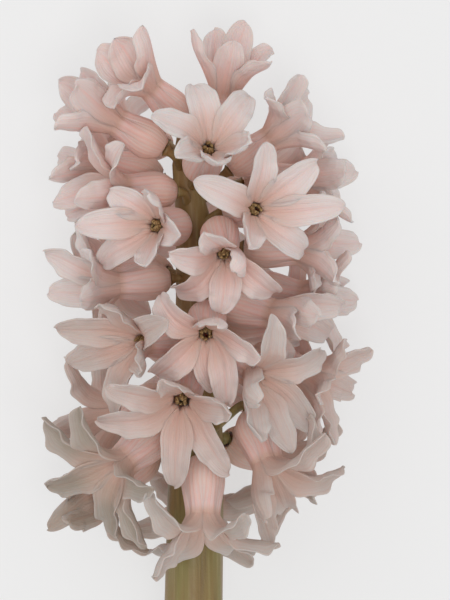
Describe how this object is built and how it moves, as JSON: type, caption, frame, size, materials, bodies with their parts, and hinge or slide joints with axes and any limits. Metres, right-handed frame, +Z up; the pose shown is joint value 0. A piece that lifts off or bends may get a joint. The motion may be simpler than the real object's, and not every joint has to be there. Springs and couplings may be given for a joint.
{
  "type": "hyacinth flower",
  "caption": "Cut hyacinth flower spike lying on its back: a thick stem with crowded star-shaped florets on short stalks.",
  "frame": {"origin": "middle of the spike's length and width, on the surface that it lies on", "axes": "+Y along the stem towards the flower's tip, +Z up from the surface, +X to the right of the flower seen from above with its tip away"},
  "size_m": [0.0632, 0.1756, 0.0598],
  "materials": {
    "stem": "matte living plant stem, olive and brown",
    "petal": "waxy fleshy petal, very pale pink"
  },
  "bodies": {
    "root": {"stem": "stem", "floret_01": "petal", "floret_02": "petal", "floret_03": "petal", "floret_04": "petal", "floret_05": "petal", "floret_06": "petal", "floret_07": "petal", "floret_08": "petal", "floret_09": "petal", "floret_10": "petal", "floret_11": "petal", "floret_12": "petal", "floret_13": "petal", "floret_14": "petal", "floret_15": "petal", "floret_16": "petal", "floret_17": "petal", "floret_18": "petal", "floret_19": "petal", "floret_20": "petal", "floret_21": "petal", "floret_22": "petal", "floret_23": "petal", "floret_24": "petal", "floret_25": "petal", "floret_26": "petal", "floret_27": "petal", "floret_28": "petal", "floret_29": "petal", "floret_30": "petal", "floret_31": "petal", "floret_32": "petal", "floret_33": "petal"}
  },
  "joints": []
}
